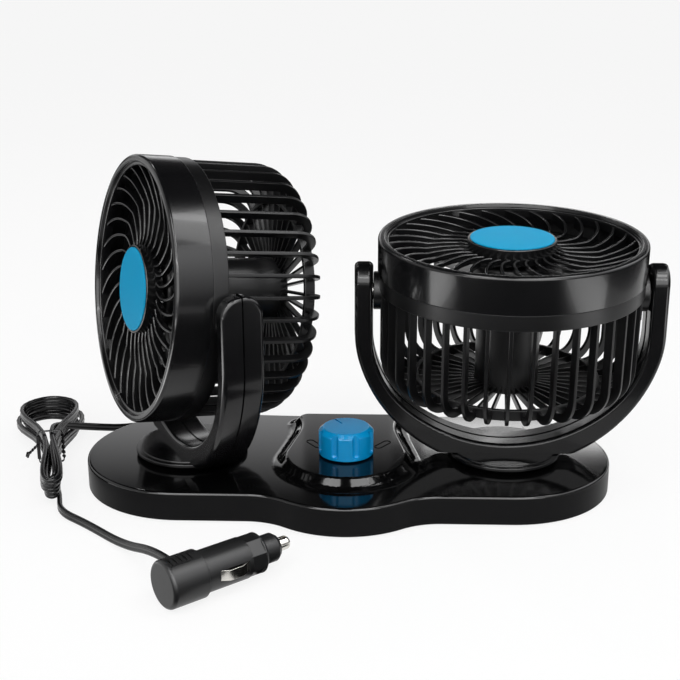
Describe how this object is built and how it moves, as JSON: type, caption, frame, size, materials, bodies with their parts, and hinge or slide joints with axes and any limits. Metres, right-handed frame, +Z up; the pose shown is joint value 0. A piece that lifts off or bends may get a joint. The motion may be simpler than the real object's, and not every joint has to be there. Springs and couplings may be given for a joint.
{
  "type": "dual_head_car_fan",
  "caption": "Black dual-head car fan with swivelling round heads in yokes on a shared base, blue speed knob, tied cord and vehicle power plug",
  "frame": {"origin": "centre of the base on the floor, midway between the two swivel axes", "axes": "+X from the left head to the right head, +Y away from the viewer, +Z up"},
  "size_m": [0.3924, 0.2515, 0.1901],
  "materials": {
    "base_black": "piano black, polished top",
    "ring_black": "satin to gloss moulding",
    "black_plastic": "fine satin moulding",
    "badge_blue": "plain blue, satin gloss",
    "knob_blue": "polished blue",
    "black_rubber": "soft black",
    "steel": "zinc plated",
    "motor_metal": "plated can",
    "chrome": "nickel plated",
    "fuse_glass": "clear glass tube",
    "board_green": "solder mask"
  },
  "bodies": {
    "base": {"base_cover": "base_black", "base_plate": "black_plastic", "rubber_feet": "black_rubber", "base_screws": "steel", "control_board": "board_green", "speed_control": "steel", "board_parts": "black_plastic", "control_nut": "steel", "cord_grommet": "black_rubber", "cord_lead": "black_rubber", "cord_hank": "black_rubber", "cord_tie": "black_rubber", "cord_tail": "black_rubber", "plug_grip": "black_plastic", "plug_barrel": "black_plastic", "plug_contacts": "chrome", "plug_nose": "black_plastic", "plug_fuse": "fuse_glass"},
    "knob": {"speed_knob": "knob_blue", "control_spindle": "steel"},
    "left_yoke": {"left_swivel_disc": "ring_black", "left_swivel_washer": "steel", "left_swivel_screw": "steel", "left_yoke_screws": "steel", "left_yoke_front": "ring_black", "left_yoke_rear": "ring_black"},
    "left_head": {"left_front_ring": "ring_black", "left_front_grille": "black_plastic", "left_badge": "badge_blue", "left_rear_cage": "black_plastic", "left_pivot_pins": "steel", "left_motor_cap": "black_plastic", "left_motor_can": "motor_metal", "left_motor_end": "black_plastic", "left_motor_screws": "steel"},
    "left_fan": {"left_motor_shaft": "steel", "left_impeller": "black_plastic"},
    "right_yoke": {"right_swivel_disc": "ring_black", "right_swivel_washer": "steel", "right_swivel_screw": "steel", "right_yoke_screws": "steel", "right_yoke_front": "ring_black", "right_yoke_rear": "ring_black"},
    "right_head": {"right_front_ring": "ring_black", "right_front_grille": "black_plastic", "right_badge": "badge_blue", "right_rear_cage": "black_plastic", "right_pivot_pins": "steel", "right_motor_cap": "black_plastic", "right_motor_can": "motor_metal", "right_motor_end": "black_plastic", "right_motor_screws": "steel"},
    "right_fan": {"right_motor_shaft": "steel", "right_impeller": "black_plastic"},
    "plug_tip": {"plug_tip": "chrome"}
  },
  "joints": [
    {"name": "knob_turn", "type": "hinge", "parent": "base", "child": "knob", "pos_m": [0, -0.016, 0.03], "axis": [0, 0, 1], "range_deg": [-183, 117]},
    {"name": "left_swivel", "type": "hinge", "parent": "base", "child": "left_yoke", "pos_m": [-0.09, 0, 0.02], "axis": [0, 0, 1], "range_deg": [-108.5, 231.5]},
    {"name": "left_tilt", "type": "hinge", "parent": "left_yoke", "child": "left_head", "pos_m": [-0.09, 0, 0.114], "axis": [-0.4772, 0.8788, 0], "range_deg": [-97, 83]},
    {"name": "left_spin", "type": "hinge", "parent": "left_head", "child": "left_fan", "pos_m": [-0.09, 0, 0.114], "axis": [-0.8723, -0.4736, 0.1219], "continuous": true},
    {"name": "right_swivel", "type": "hinge", "parent": "base", "child": "right_yoke", "pos_m": [0.09, 0, 0.02], "axis": [0, 0, 1], "range_deg": [-170, 170]},
    {"name": "right_tilt", "type": "hinge", "parent": "right_yoke", "child": "right_head", "pos_m": [0.09, 0, 0.114], "axis": [-1, 0, 0], "range_deg": [-176.5, 3.5]},
    {"name": "right_spin", "type": "hinge", "parent": "right_head", "child": "right_fan", "pos_m": [0.09, 0, 0.114], "axis": [0, -0.061, 0.9981], "continuous": true},
    {"name": "plug_tip_press", "type": "slide", "parent": "base", "child": "plug_tip", "axis": [-0.7615, -0.6481, 0], "range_m": [0, 0.0025], "stiffness_N_per_m": 400}
  ]
}
